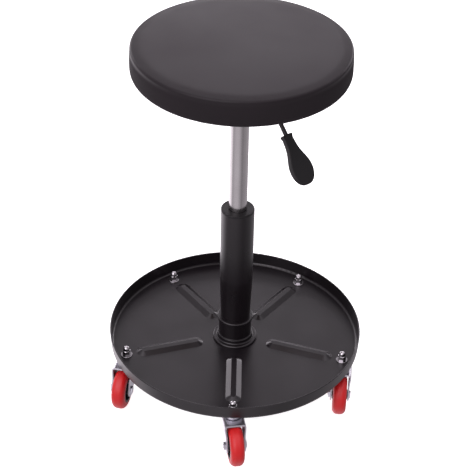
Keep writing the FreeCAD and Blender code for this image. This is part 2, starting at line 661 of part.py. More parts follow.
def make_lever_paddle():
    """Flat grip: a straight neck that flares to a broad blade with a round end."""
    neck, blade = PADDLE_NECK_WIDTH / 2, PADDLE_WIDTH / 2
    flare_start = PADDLE_NECK_LENGTH
    flare_end = PADDLE_NECK_LENGTH + PADDLE_FLARE_LENGTH
    end_round = blade * 0.98
    outline = rounded_face([(0, -neck, 1.5), (flare_start, -neck, 18.0), (flare_end, -blade, 14.0),
                            (PADDLE_LENGTH, -blade, end_round), (PADDLE_LENGTH, blade, end_round),
                            (flare_end, blade, 14.0), (flare_start, neck, 18.0), (0, neck, 1.5)], in_xy)
    outline.translate(FreeCAD.Vector(0, 0, -PADDLE_THICKNESS / 2))
    grip = outline.extrude(UP * PADDLE_THICKNESS)
    half = PADDLE_THICKNESS / 2
    grip = round_edges(grip, PADDLE_ROUNDING, lambda edge: at_height(edge, half) or at_height(edge, -half))
    bore = Part.makeCylinder(LEVER_ROD_RADIUS, LEVER_ROD_IN_GRIP + OVERSHOOT, in_xz(-OVERSHOOT, 0),
                             in_xz(1, 0))
    grip = turn(grip.cut(bore), LEVER_DROP_ANGLE, FreeCAD.Vector(0, 1, 0))
    start = in_xz(LEVER_BEND, LEVER_Z) + drop_direction() * LEVER_GRIP_START
    return move(grip, start.x, 0, start.z)


# ---- Cushion ----
def make_seat_board():
    board = turned([(0, BOARD_BOTTOM, 0), (BOARD_RADIUS, BOARD_BOTTOM, 1.0),
                    (BOARD_RADIUS, BOARD_TOP, 1.0), (0, BOARD_TOP, 0)])
    hole = disc(TNUT_BARREL_RADIUS, BOARD_BOTTOM - OVERSHOOT, BOARD_TOP + OVERSHOOT)
    holes = [turn(copy, LEVER_AZIMUTH) for copy in at_bolts(hole)]
    return board.cut(Part.makeCompound(holes))


def make_seat_foam():
    edge = CUSHION_RADIUS - COVER_THICKNESS
    top = SEAT_HEIGHT - COVER_THICKNESS
    foam = turned([(0, BOARD_TOP, 0),
                   (BOARD_RADIUS, BOARD_TOP, 0),
                   (BOARD_RADIUS, BOARD_BOTTOM, 0),
                   (edge, BOARD_BOTTOM, CUSHION_BOTTOM_ROUNDING - COVER_THICKNESS),
                   (edge, top, CUSHION_TOP_ROUNDING - COVER_THICKNESS),
                   (0, top, 0)])
    pocket = disc(TNUT_FLANGE_RADIUS, BOARD_TOP - OVERSHOOT, BOARD_TOP + TNUT_FLANGE)
    pockets = [turn(copy, LEVER_AZIMUTH) for copy in at_bolts(pocket)]
    return foam.cut(Part.makeCompound(pockets))


def make_seat_cover():
    edge = CUSHION_RADIUS - COVER_THICKNESS
    raw_edge = CUSHION_RADIUS - COVER_TURN_UNDER
    top = SEAT_HEIGHT - COVER_THICKNESS
    return turned([(raw_edge, CUSHION_BOTTOM, 0.4),
                   (CUSHION_RADIUS, CUSHION_BOTTOM, CUSHION_BOTTOM_ROUNDING),
                   (CUSHION_RADIUS, SEAT_HEIGHT, CUSHION_TOP_ROUNDING),
                   (0, SEAT_HEIGHT, 0),
                   (0, top, 0),
                   (edge, top, CUSHION_TOP_ROUNDING - COVER_THICKNESS),
                   (edge, BOARD_BOTTOM, CUSHION_BOTTOM_ROUNDING - COVER_THICKNESS),
                   (raw_edge, BOARD_BOTTOM, 0)])


def make_cover_staples():
    half = STAPLE_WIDTH / 2
    crown_bottom = CUSHION_BOTTOM - STAPLE_CROWN
    radius = CUSHION_RADIUS - COVER_TURN_UNDER + STAPLE_EDGE
    height = STAPLE_CROWN + STAPLE_LEG
    outline = rounded_face([(-half, crown_bottom, 0.4), (half, crown_bottom, 0.4),
                            (half, crown_bottom + height, 0),
                            (half - STAPLE_WIRE, crown_bottom + height, 0),
                            (half - STAPLE_WIRE, CUSHION_BOTTOM, 0),
                            (-half + STAPLE_WIRE, CUSHION_BOTTOM, 0),
                            (-half + STAPLE_WIRE, crown_bottom + height, 0),
                            (-half, crown_bottom + height, 0)], in_yz)
    staple = move(outline.extrude(in_xz(STAPLE_WIRE, 0)), radius, 0, 0)
    return [turn(staple, n * 360.0 / STAPLE_COUNT) for n in range(STAPLE_COUNT)]


# ---- Caster hardware fixed to the tray ----
def make_caster_stem():
    """King bolt: head under the crown, shoulder up to the tray, threaded stud above."""
    head_top = CROWN_BOTTOM - FACE_GAP
    stud_top = TRAY_FLOOR + STUD_PROJECTION
    return turned([(0, head_top - STEM_HEAD_HEIGHT, 0),
                   (STEM_HEAD_RADIUS, head_top - STEM_HEAD_HEIGHT, 2.0),
                   (STEM_HEAD_RADIUS, head_top, 0.4),
                   (STEM_RADIUS, head_top, 0),
                   (STEM_RADIUS, TRAY_BOTTOM, 0),
                   (STUD_RADIUS, TRAY_BOTTOM, 0),
                   (STUD_RADIUS, stud_top, 0.6),
                   (0, stud_top, 0)])


def make_caster_race():
    """Pressed upper race: a cap over the balls, clear of the crown that turns under it."""
    skirt_bottom = CROWN_TOP + RACE_SKIRT_GAP
    return turned([(STEM_RADIUS, TRAY_BOTTOM - RACE_SHEET, 0),
                   (RACE_TOP_RADIUS - RACE_SHEET, TRAY_BOTTOM - RACE_SHEET, 0.8),
                   (RACE_BOTTOM_RADIUS - RACE_SHEET, skirt_bottom, 0),
                   (RACE_BOTTOM_RADIUS, skirt_bottom, 0.9),
                   (RACE_TOP_RADIUS, TRAY_BOTTOM, 1.2),
                   (STEM_RADIUS, TRAY_BOTTOM, 0)])


def make_caster_balls():
    ball_z = TRAY_BOTTOM - RACE_SHEET - BALL_GAP - BALL_RADIUS
    pitch = RACE_BOTTOM_RADIUS - RACE_SHEET - RACE_BALL_GAP - BALL_RADIUS
    ball = Part.makeSphere(BALL_RADIUS, in_xz(pitch, ball_z))
    balls = [turn(ball, n * 360.0 / BALL_COUNT) for n in range(BALL_COUNT)]
    return [copy for one in balls for copy in at_casters(one)]


def make_caster_washer():
    top = TRAY_FLOOR + WASHER_THICKNESS
    hole = STUD_RADIUS + HOLE_CLEARANCE
    return turned([(hole, TRAY_FLOOR, 0), (WASHER_RADIUS, TRAY_FLOOR, 0),
                   (WASHER_RADIUS, top, 0.5), (hole, top, 0)])


def make_acorn_nut():
    bottom = TRAY_FLOOR + WASHER_THICKNESS
    hex_top = bottom + ACORN_HEX_HEIGHT
    top = bottom + ACORN_HEIGHT
    corner = NUT_ACROSS_FLATS / 2 / math.cos(math.radians(30))
    chamfer = turned([(0, bottom, 0), (corner, bottom, 0), (corner, hex_top - 0.8, 0),
                      (ACORN_DOME_RADIUS, hex_top, 0), (0, hex_top, 0)])
    body = hexagon(NUT_ACROSS_FLATS, bottom, hex_top).common(chamfer)
    neck = disc(ACORN_DOME_RADIUS, hex_top - OVERSHOOT, top - ACORN_DOME_RADIUS)
    dome = Part.makeSphere(ACORN_DOME_RADIUS, in_xz(0, top - ACORN_DOME_RADIUS))
    thread = disc(STUD_RADIUS, bottom - OVERSHOOT, TRAY_FLOOR + STUD_PROJECTION)
    return body.fuse(neck).fuse(dome).cut(thread)


# ---- One caster, built on its swivel axis with the wheel trailing along +X ----
def tangent_point(start, centre, radius, side):
    """Where the line from start touches the circle, on the given side (+1 or -1)."""
    reach = centre - start
    angle = math.atan2(reach.z, reach.x) + side * math.asin(radius / reach.Length)
    length = math.sqrt(reach.Length ** 2 - radius ** 2)
    return start + in_xz(math.cos(angle), math.sin(angle)) * length


def make_fork():
    """Pressed fork: a round crown with two legs that draw in and run down to the axle."""
    shoulder = CROWN_TOP - FORK_SHOULDER_DROP
    foot = AXLE_Z - FORK_END_RADIUS - OVERSHOOT
    crown_inside = FORK_CROWN_RADIUS - FORK_SHEET
    front_view = rounded_face([(LEG_OUTSIDE, foot, 0), (LEG_OUTSIDE, shoulder, 8.0),
                               (FORK_CROWN_RADIUS, CROWN_TOP, 4.5),
                               (-FORK_CROWN_RADIUS, CROWN_TOP, 4.5), (-LEG_OUTSIDE, shoulder, 8.0),
                               (-LEG_OUTSIDE, foot, 0), (-LEG_INSIDE, foot, 0),
                               (-LEG_INSIDE, shoulder, 10.0), (-crown_inside, CROWN_BOTTOM, 2.3),
                               (crown_inside, CROWN_BOTTOM, 2.3), (LEG_INSIDE, shoulder, 10.0),
                               (LEG_INSIDE, foot, 0)], in_yz)
    front_view.translate(in_xz(-FORK_CROWN_RADIUS - OVERSHOOT, 0))
    length = FORK_CROWN_RADIUS + CASTER_TRAIL + FORK_END_RADIUS + 2 * OVERSHOOT
    sheet = front_view.extrude(in_xz(length, 0))

    axle = in_xz(CASTER_TRAIL, AXLE_Z)
    back_top = in_xz(-FORK_CROWN_RADIUS, CROWN_TOP + OVERSHOOT)
    back_low = in_xz(-FORK_CROWN_RADIUS, CROWN_TOP - FORK_SHOULDER_DROP / 2)
    front_top = in_xz(CASTER_TRAIL - 3.0, CROWN_TOP + OVERSHOOT)
    back_touch = tangent_point(back_low, axle, FORK_END_RADIUS, -1)
    front_touch = tangent_point(front_top, axle, FORK_END_RADIUS, 1)
    away = (axle - back_low)
    away.normalize()
    side_view = Part.Face(Part.Wire([
        Part.LineSegment(back_top, back_low).toShape(),
        Part.LineSegment(back_low, back_touch).toShape(),
        Part.Arc(back_touch, axle + away * FORK_END_RADIUS, front_touch).toShape(),
        Part.LineSegment(front_touch, front_top).toShape(),
        Part.LineSegment(front_top, back_top).toShape()]))
    side_view.translate(FreeCAD.Vector(0, -FORK_CROWN_RADIUS - OVERSHOOT, 0))
    profile = side_view.extrude(FreeCAD.Vector(0, 2 * (FORK_CROWN_RADIUS + OVERSHOOT), 0))

    top_view = disc(FORK_CROWN_RADIUS, 0, CROWN_TOP + OVERSHOOT).fuse(
        Part.makeBox(length, 2 * FORK_CROWN_RADIUS, CROWN_TOP + OVERSHOOT,
                     FreeCAD.Vector(0, -FORK_CROWN_RADIUS, 0)))
    fork = sheet.common(profile).common(top_view)
    stem_hole = disc(STEM_RADIUS + RUNNING_FIT, CROWN_BOTTOM - OVERSHOOT, CROWN_TOP + OVERSHOOT)
    axle_hole = on_axle(disc(AXLE_RADIUS + HOLE_CLEARANCE, -FORK_CROWN_RADIUS, FORK_CROWN_RADIUS))
    return fork.cut(stem_hole).cut(axle_hole)


def on_axle(shape):
    return move(along_y(shape), CASTER_TRAIL, 0, AXLE_Z)


def make_axle_bolt():
    head = hexagon(NUT_ACROSS_FLATS, LEG_OUTSIDE, LEG_OUTSIDE + AXLE_HEAD_HEIGHT)
    shank = disc(AXLE_RADIUS, -LEG_OUTSIDE - AXLE_NUT_HEIGHT - AXLE_TIP, LEG_OUTSIDE)
    return on_axle(head.fuse(shank))


def make_axle_nut():
    nut = hexagon(NUT_ACROSS_FLATS, -LEG_OUTSIDE - AXLE_NUT_HEIGHT, -LEG_OUTSIDE)
    hole = disc(AXLE_RADIUS, -LEG_OUTSIDE - AXLE_NUT_HEIGHT - OVERSHOOT, -LEG_OUTSIDE + OVERSHOOT)
    return on_axle(nut.cut(hole))


def make_wheel_tread():
    half = TREAD_WIDTH / 2
    outer = WHEEL_DIAMETER / 2
    inner = outer - TREAD_THICKNESS
    return on_axle(turned([(inner, -half, 0.5), (outer, -half, TREAD_ROUNDING),
                           (outer, half, TREAD_ROUNDING), (inner, half, 0.5)]))


def make_wheel_hub():
    """Moulded hub: boss, web and the rim that carries the tread."""
    boss, web, rim = HUB_WIDTH / 2, HUB_WEB_THICKNESS / 2, TREAD_WIDTH / 2
    outer = WHEEL_DIAMETER / 2 - TREAD_THICKNESS
    rim_inside = outer - HUB_RIM_THICKNESS
    half = [(WHEEL_BUSH_RADIUS, boss, 0), (HUB_BOSS_RADIUS, boss, 0.8), (HUB_BOSS_RADIUS, web, 1.5),
            (rim_inside, web, 1.5), (rim_inside, rim, 0.6), (outer, rim, 0)]
    mirrored = [(r, -z, rounding) for r, z, rounding in reversed(half)]
    return on_axle(turned(half + mirrored))


def make_wheel_bush():
    end = HUB_WIDTH / 2 + FORK_SIDE_GAP / 2
    return on_axle(ring(WHEEL_BUSH_RADIUS, AXLE_RADIUS + RUNNING_FIT, -end, end))


# ---- Write every piece ----
def main():
    os.makedirs("parts", exist_ok=True)
    export("tray", make_tray())
    export("hub_socket", make_hub_socket())
    export("column_tube", make_column_tube())
    export("column_end_plate", make_column_end_plate())
    export("guide_bush", make_guide_bush())
    export("caster_stems", at_casters(make_caster_stem()))
    export("caster_races", at_casters(make_caster_race()))
    export("caster_balls", make_caster_balls())
    export("caster_washers", at_casters(make_caster_washer()))
    export("caster_nuts", at_casters(make_acorn_nut()))

    export("piston_rod", make_piston_rod())
    export("piston", make_piston())
    export("rod_clip", make_rod_clip())
    export("thrust_bearing", make_thrust_bearing())
    export("rubber_buffer", make_rubber_buffer())

    export("gas_cylinder", make_gas_cylinder())
    export("cylinder_guide", make_cylinder_guide())
    export("taper_socket", make_taper_socket())
    export("mount_plate", turn(make_mount_plate(), LEVER_AZIMUTH))
    export("lever_bracket", turn(make_lever_bracket(), LEVER_AZIMUTH))
    export("lever_pin", turn(make_lever_pin(), LEVER_AZIMUTH))
    export("plate_bolts", [turn(bolt, LEVER_AZIMUTH) for bolt in make_plate_bolts()])
    export("t_nuts", [turn(nut, LEVER_AZIMUTH) for nut in make_t_nuts()])
    export("seat_board", make_seat_board())
    export("seat_foam", make_seat_foam())
    export("seat_cover", make_seat_cover())
    export("cover_staples", make_cover_staples())

    export("valve_pin", make_valve_pin())
    export("lever_rod", turn(make_lever_rod(), LEVER_AZIMUTH))
    export("lever_paddle", turn(make_lever_paddle(), LEVER_AZIMUTH))

    caster_pieces = {
        "caster_fork": make_fork(), "axle_bolt": make_axle_bolt(), "axle_nut": make_axle_nut(),
        "wheel_tread": make_wheel_tread(), "wheel_hub": make_wheel_hub(), "wheel_bush": make_wheel_bush()}
    for index, heading in enumerate(CASTER_HEADINGS):
        azimuth = math.radians(caster_azimuth(index))
        x = CASTER_CIRCLE * math.cos(azimuth)
        y = CASTER_CIRCLE * math.sin(azimuth)
        for name, shape in caster_pieces.items():
            export(name + "_" + str(index + 1), move(turn(shape, heading), x, y, 0))


main()
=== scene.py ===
# %% [markdown]
# # An adjustable swivel stool
# The stool's frame comes ready made from its design model: every tube, nut and wheel is already at its
# real size and place, in metres, with the floor at z = 0 and the column on the Z axis. This lesson adds
# what a design model leaves out: the soft seat, the lever's moulded grip, and finishes.

# %% Load the frame
import bpy
import bmesh
import math
from mathutils import Euler, Matrix, Vector


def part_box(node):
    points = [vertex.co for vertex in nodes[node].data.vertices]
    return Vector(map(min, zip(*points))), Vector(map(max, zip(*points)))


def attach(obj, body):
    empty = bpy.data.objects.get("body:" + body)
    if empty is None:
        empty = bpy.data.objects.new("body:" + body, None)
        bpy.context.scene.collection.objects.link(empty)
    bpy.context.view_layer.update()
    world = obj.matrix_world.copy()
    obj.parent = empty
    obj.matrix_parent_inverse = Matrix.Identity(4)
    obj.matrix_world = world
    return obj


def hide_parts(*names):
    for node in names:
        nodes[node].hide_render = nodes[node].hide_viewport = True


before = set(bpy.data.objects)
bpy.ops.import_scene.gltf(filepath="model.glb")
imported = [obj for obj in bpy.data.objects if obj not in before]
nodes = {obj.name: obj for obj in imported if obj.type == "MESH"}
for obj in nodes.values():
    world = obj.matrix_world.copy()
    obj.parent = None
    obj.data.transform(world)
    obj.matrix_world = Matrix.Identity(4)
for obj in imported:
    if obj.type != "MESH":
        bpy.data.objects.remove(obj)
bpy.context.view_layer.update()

MM = 0.001

# %% [markdown]
# ## Small tools
# Operators work on whatever is selected, so each step begins by selecting exactly one thing. In edit mode
# the faces or edges to work on are chosen by where they are, the way a modeller would click on them.

# %% Selection helpers
def select_only(piece):
    if bpy.context.object and bpy.context.object.mode != "OBJECT":
        bpy.ops.object.mode_set(mode="OBJECT")
    bpy.ops.object.select_all(action="DESELECT")
    piece.select_set(True)
    bpy.context.view_layer.objects.active = piece


def pick(piece, kind, wanted):
    """In edit mode, select the faces or edges whose middle passes the test, and only those."""
    bpy.ops.mesh.select_mode(type="FACE" if kind == "faces" else "EDGE")
    bpy.ops.mesh.select_all(action="DESELECT")
    mesh = bmesh.from_edit_mesh(piece.data)
    chosen = 0
    for part in getattr(mesh, kind):
        middle = sum((v.co for v in part.verts), Vector()) / len(part.verts)
        if wanted(part, middle):
            part.select_set(True)
            chosen += 1
    bmesh.update_edit_mesh(piece.data)
    return chosen


def apply_modifier(piece, kind, **settings):
    select_only(piece)
    modifier = piece.modifiers.new(kind.title(), kind)
    for name, value in settings.items():
        setattr(modifier, name, value)
    bpy.ops.object.modifier_apply(modifier=modifier.name)


def finish_piece(piece, name, body, smooth_angle=35):
    """Settle the piece at the origin, name it, and hang it on the body it moves with."""
    select_only(piece)
    bpy.ops.object.transform_apply(location=True, rotation=True, scale=True)
    bpy.ops.object.shade_smooth_by_angle(angle=math.radians(smooth_angle))
    piece.name = name
    piece.data.name = name
    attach(piece, body)
    print(name, "has", len(piece.data.polygons), "faces")


# %% [markdown]
# ## Material tools
# A colour picked from a swatch is written as a hex value, which is in sRGB. The shader wants linear light,
# so one function turns it. One more function adds any node with its settings and its links.

# %% Colour and node helpers
def linear(hex_value):
    channels = [int(hex_value[i:i + 2], 16) / 255 for i in (1, 3, 5)]
    return tuple(c / 12.92 if c <= 0.04045 else ((c + 0.055) / 1.055) ** 2.4 for c in channels) + (1.0,)


def add_node(tree, kind, values=None, links=None, **settings):
    """Add a node; values sets its inputs, links joins its inputs to other nodes' outputs."""
    node = tree.nodes.new(kind)
    for name, value in settings.items():
        setattr(node, name, value)
    for name, value in (values or {}).items():
        node.inputs[name].default_value = value
    for name, source in (links or {}).items():
        tree.links.new(source, node.inputs[name])
    return node


def start_material(name, **shader_values):
    """A new material with its Principled shader and Object coordinates, ready for its pattern."""
    material = bpy.data.materials.new(name)
    material.use_nodes = True
    tree = material.node_tree
    tree.nodes.clear()
    values = {key.replace("_", " ").title(): value for key, value in shader_values.items()}
    values = {"IOR" if key == "Ior" else key: value for key, value in values.items()}
    shader = add_node(tree, "ShaderNodeBsdfPrincipled", values)
    add_node(tree, "ShaderNodeOutputMaterial", links={"Surface": shader.outputs["BSDF"]})
    where = add_node(tree, "ShaderNodeTexCoord").outputs["Object"]
    return material, tree, shader, where


def per_metre(size_mm):
    """Texture scale that makes one pattern cell this many millimetres."""
    return 1 / (size_mm * MM)


def paint(material, names):
    for name in names:
        piece = nodes[name]
        piece.data.materials.clear()
        piece.data.materials.append(material)
    print(material.name, "on", len(names), "nodes")


# %% [markdown]
# ## Powder coat
# The tray and the hub are pressed and welded steel, powder coated black. Powder melts into a thick film
# that is semi-gloss with a faint orange peel: shallow waves two or three millimetres apart, over a much
# finer stipple. The peel breaks up reflections a little, and dust dulls the gloss in soft patches.

# %% Black powder coat
def make_powder_coat(name, colour, dusty, roughness):
    material, tree, shader, where = start_material(name, ior=1.5, metallic=0.0)
    patches = add_node(tree, "ShaderNodeTexNoise", {"Scale": per_metre(60), "Detail": 3.0}, {"Vector": where})
    tint = add_node(tree, "ShaderNodeMix", {"A": linear(colour), "B": linear(dusty)},
                    data_type="RGBA")
    tree.links.new(patches.outputs["Fac"], tint.inputs["Factor"])
    tree.links.new(tint.outputs["Result"], shader.inputs["Base Color"])
    gloss = add_node(tree, "ShaderNodeMapRange",
                     {"From Min": 0.3, "From Max": 0.7, "To Min": roughness[0], "To Max": roughness[1]},
                     {"Value": patches.outputs["Fac"]}, interpolation_type="SMOOTHSTEP")
    tree.links.new(gloss.outputs["Result"], shader.inputs["Roughness"])
    peel = add_node(tree, "ShaderNodeTexNoise", {"Scale": per_metre(2.6), "Detail": 2.0}, {"Vector": where})
    bump = add_node(tree, "ShaderNodeBump", {"Strength": 0.12, "Distance": 0.05 * MM},
                    {"Height": peel.outputs["Fac"]})
    tree.links.new(bump.outputs["Normal"], shader.inputs["Normal"])
    return material


black_powder_coat = make_powder_coat("black_powder_coat", "#0f0b0e", "#151014", (0.28, 0.34))
paint(black_powder_coat, ["tray", "hub_socket", "mount_plate", "taper_socket", "lever_bracket"])

# %% [markdown]
# ## Satin stove paint
# The outer column and the lever's rod have a thinner sprayed and baked paint, satin rather than glossy.

# %% Black satin paint
black_satin_paint = make_powder_coat("black_satin_paint", "#100c0f", "#151014", (0.26, 0.33))
paint(black_satin_paint, ["column_tube", "lever_rod"])

# %% [markdown]
# ## Chrome and zinc
# The gas cylinder is ground and hard chromed, which leaves faint rings round it. Acorn nuts and washers are
# bright chrome. Casters are zinc plated pressings: bright too, but with the cloudy spangle of thin plating.
# The ground rings are drawn half a millimetre apart, coarser than real grinding marks, so that they show.

# %% Metals
def make_metal(name, colours, roughness, cloud_mm, ring_mm=None, relief=0.05):
    material, tree, shader, where = start_material(name, metallic=1.0)
    clouds = add_node(tree, "ShaderNodeTexNoise", {"Scale": per_metre(cloud_mm), "Detail": 4.0},
                      {"Vector": where})
    tint = add_node(tree, "ShaderNodeMix", {"A": linear(colours[0]), "B": linear(colours[1])},
                    data_type="RGBA")
    tree.links.new(clouds.outputs["Fac"], tint.inputs["Factor"])
    tree.links.new(tint.outputs["Result"], shader.inputs["Base Color"])
    gloss = add_node(tree, "ShaderNodeMapRange",
                     {"From Min": 0.3, "From Max": 0.7, "To Min": roughness[0], "To Max": roughness[1]},
                     {"Value": clouds.outputs["Fac"]})
    tree.links.new(gloss.outputs["Result"], shader.inputs["Roughness"])
    if ring_mm:
        stretch = add_node(tree, "ShaderNodeMapping", {"Scale": (0.0, 0.0, per_metre(ring_mm))},
                           {"Vector": where})
        marks = add_node(tree, "ShaderNodeTexNoise", {"Scale": 1.0, "Detail": 3.0},
                         {"Vector": stretch.outputs["Vector"]})
    else:
        marks = add_node(tree, "ShaderNodeTexNoise", {"Scale": per_metre(1.2), "Detail": 2.0},
                         {"Vector": where})
    bump = add_node(tree, "ShaderNodeBump", {"Strength": relief, "Distance": 0.01 * MM},
                    {"Height": marks.outputs["Fac"]})
    tree.links.new(bump.outputs["Normal"], shader.inputs["Normal"])
    return material


ground_chrome = make_metal("ground_hard_chrome", ("#c3c1c1", "#b7b4b4"), (0.2, 0.26), 30, ring_mm=0.5)
bright_chrome = make_metal("bright_chrome_plate", ("#bdbbbd", "#adabae"), (0.06, 0.12), 12)
zinc_plate = make_metal("bright_zinc_plate", ("#dcdbe0", "#c3c2ca"), (0.28, 0.4), 6, relief=0.02)
ground_steel = make_metal("ground_steel", ("#a5a3a1", "#8f8d8b"), (0.25, 0.38), 8)
turned_brass = make_metal("turned_brass", ("#c9a35a", "#b08b48"), (0.2, 0.3), 8, ring_mm=0.6)
caster_numbers = range(1, 6)
paint(ground_chrome, ["gas_cylinder"])
paint(bright_chrome, ["caster_nuts", "caster_washers"])
paint(zinc_plate, ["caster_stems", "caster_races", "lever_pin", "plate_bolts", "t_nuts", "cover_staples"]
      + [kind + "_%d" % n for n in caster_numbers for kind in ("caster_fork", "axle_bolt", "axle_nut")])
paint(ground_steel, ["column_end_plate", "caster_balls", "piston_rod", "rod_clip", "thrust_bearing"]
      + ["valve_pin"] + ["wheel_bush_%d" % n for n in caster_numbers])
paint(turned_brass, ["piston"])

# %% [markdown]
# ## Polyurethane, nylon, rubber and plastic
# The wheel treads are cast red polyurethane: slightly see-into, smooth, with a soft shine. Hubs are moulded
# nylon, and the guide bush and the grip are moulded with a spark-eroded texture, a fine even stipple.

# %% Moulded and cast finishes
def make_moulding(name, colours, roughness, grain_mm, relief_mm, **shader_values):
    material, tree, shader, where = start_material(name, metallic=0.0, **shader_values)
    wear = add_node(tree, "ShaderNodeTexNoise", {"Scale": per_metre(15), "Detail": 4.0}, {"Vector": where})
    tint = add_node(tree, "ShaderNodeMix", {"A": linear(colours[0]), "B": linear(colours[1])},
                    data_type="RGBA")
    tree.links.new(wear.outputs["Fac"], tint.inputs["Factor"])
    tree.links.new(tint.outputs["Result"], shader.inputs["Base Color"])
    gloss = add_node(tree, "ShaderNodeMapRange",
                     {"From Min": 0.3, "From Max": 0.7, "To Min": roughness[0], "To Max": roughness[1]},
                     {"Value": wear.outputs["Fac"]})
    tree.links.new(gloss.outputs["Result"], shader.inputs["Roughness"])
    grain = add_node(tree, "ShaderNodeTexNoise", {"Scale": per_metre(grain_mm), "Detail": 2.0},
                     {"Vector": where})
    bump = add_node(tree, "ShaderNodeBump", {"Strength": 0.5, "Distance": relief_mm * MM},
                    {"Height": grain.outputs["Fac"]})
    tree.links.new(bump.outputs["Normal"], shader.inputs["Normal"])
    return material


red_urethane = make_moulding("cast_red_polyurethane", ("#c41214", "#cd1a1c"), (0.4, 0.5), 1.5, 0.01, ior=1.5,
                             subsurface_weight=0.1, subsurface_scale=0.002)
black_nylon = make_moulding("moulded_black_nylon", ("#151516", "#1c1c1e"), (0.4, 0.52), 1.0, 0.03, ior=1.53)
black_plastic = make_moulding("textured_black_plastic", ("#100f11", "#141315"), (0.42, 0.55), 0.7, 0.05,
                               ior=1.42)
black_rubber = make_moulding("moulded_black_rubber", ("#151414", "#1d1c1c"), (0.6, 0.75), 1.0, 0.03, ior=1.52)
paint(red_urethane, ["wheel_tread_%d" % n for n in caster_numbers])
paint(black_nylon, ["wheel_hub_%d" % n for n in caster_numbers])
paint(black_plastic, ["guide_bush", "cylinder_guide", "lever_paddle"])
paint(black_rubber, ["rubber_buffer"])

# %% [markdown]
# ## Plywood
# The seat board is birch plywood. From below its face veneer shows long pale grain, and round the edge the
# plies alternate light and dark every millimetre and a half. One pattern serves both: grain stretched
# along X, with bands in Z that only the edge cuts through.

# %% Plywood
plywood, tree, shader, where = start_material("birch_plywood", metallic=0.0, ior=1.5, roughness=0.6)
along = add_node(tree, "ShaderNodeMapping", {"Scale": (per_metre(90), per_metre(2.5), per_metre(1.5))},
                 {"Vector": where})
grain = add_node(tree, "ShaderNodeTexNoise", {"Scale": 1.0, "Detail": 6.0, "Distortion": 0.6},
                 {"Vector": along.outputs["Vector"]})
wood_tint = add_node(tree, "ShaderNodeValToRGB", links={"Fac": grain.outputs["Fac"]})
wood_tint.color_ramp.elements[0].position = 0.3
wood_tint.color_ramp.elements[0].color = linear("#a9814f")
wood_tint.color_ramp.elements[1].position = 0.7
wood_tint.color_ramp.elements[1].color = linear("#d3b284")
tree.links.new(wood_tint.outputs["Color"], shader.inputs["Base Color"])
fibre = add_node(tree, "ShaderNodeBump", {"Strength": 0.3, "Distance": 0.1 * MM},
                 {"Height": grain.outputs["Fac"]})
tree.links.new(fibre.outputs["Normal"], shader.inputs["Normal"])
paint(plywood, ["seat_board"])

# %% [markdown]
# ## Vinyl
# The seat's cover is smooth upholstery vinyl, pulled tight over the foam. Its printed grain is a net of tiny
# rounded cells under a millimetre across, seen mostly as a softness in the highlights. Sitting has polished
# the top, while the side keeps its matt finish, so roughness changes with height across the seat's edge.

# %% Upholstery vinyl
SEAT_EDGE_Z = (0.587, 0.594)                  # matt below, polished above
black_vinyl, tree, shader, where = start_material("black_upholstery_vinyl", metallic=0.0, ior=1.27)
wear = add_node(tree, "ShaderNodeTexNoise", {"Scale": per_metre(80), "Detail": 3.0}, {"Vector": where})
tint = add_node(tree, "ShaderNodeMix", {"A": linear("#1f1c1e"), "B": linear("#262124")}, data_type="RGBA")
tree.links.new(wear.outputs["Fac"], tint.inputs["Factor"])
tree.links.new(tint.outputs["Result"], shader.inputs["Base Color"])
height = add_node(tree, "ShaderNodeSeparateXYZ", links={"Vector": where})
polish = add_node(tree, "ShaderNodeMapRange",
                  {"From Min": SEAT_EDGE_Z[0], "From Max": SEAT_EDGE_Z[1], "To Min": 0.78, "To Max": 0.4},
                  {"Value": height.outputs["Z"]}, interpolation_type="SMOOTHSTEP")
uneven = add_node(tree, "ShaderNodeMapRange",
                  {"From Min": 0.3, "From Max": 0.7, "To Min": -0.03, "To Max": 0.04},
                  {"Value": wear.outputs["Fac"]})
gloss = add_node(tree, "ShaderNodeMath", links={0: polish.outputs["Result"], 1: uneven.outputs["Result"]},
                 operation="ADD")
tree.links.new(gloss.outputs["Value"], shader.inputs["Roughness"])
cells = add_node(tree, "ShaderNodeTexVoronoi", {"Scale": per_metre(1.1)}, {"Vector": where},
                 feature="SMOOTH_F1")
leather = add_node(tree, "ShaderNodeBump", {"Strength": 0.25, "Distance": 0.06 * MM},
                   {"Height": cells.outputs["Distance"]})
tree.links.new(leather.outputs["Normal"], shader.inputs["Normal"])

# %% [markdown]
# ## The seat cushion
# Foam glued to a board, with vinyl pulled over it and stapled underneath. The foam pushes the vinyl out, so
# the top is slightly crowned and the side bulges a hair. It is lathed in rings, a little smaller than the
# finished seat: a step inside the bottom that leaves the board bare, a turned-under edge, the side, a
# crisp top edge and a low crown. Cloth simulation then swells it.

# %% Cushion blank
CUSHION_SIDES = 128
RING_STEP = 5 * MM
UNDER_ROUNDING = 10 * MM
TOP_ROUNDING = 4 * MM
CROWN = 1.2 * MM
EDGE_STEPS = 5                                # rings round each rounded edge
INNERMOST_RING = 2 * MM
STEP_SLOPE = 1 * MM                           # how far the step inside the bottom leans
BOARD_STEP = 6 * MM                           # how far the hidden middle of the underside stands up
cover_low, cover_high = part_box("seat_cover")
cushion_radius = cover_high.x
turned_under = 31 * MM
swell = 0.8 * MM                              # room left for the swelling
blank_radius = cushion_radius - swell
blank_top = cover_high.z - swell - CROWN


def arc_rings(middle, radius, first, last, steps):
    """Rings round an edge: each is its distance from the axis and its height."""
    angles = [math.radians(first + (last - first) * n / steps) for n in range(steps + 1)]
    return [(middle[0] + radius * math.cos(a), middle[1] + radius * math.sin(a)) for a in angles]


def straight_rings(start, end):
    """Rings between two others, about one step apart, without the two ends."""
    count = max(2, round(math.dist(start, end) / RING_STEP))
    return [tuple(s + (e - s) * n / count for s, e in zip(start, end)) for n in range(1, count)]


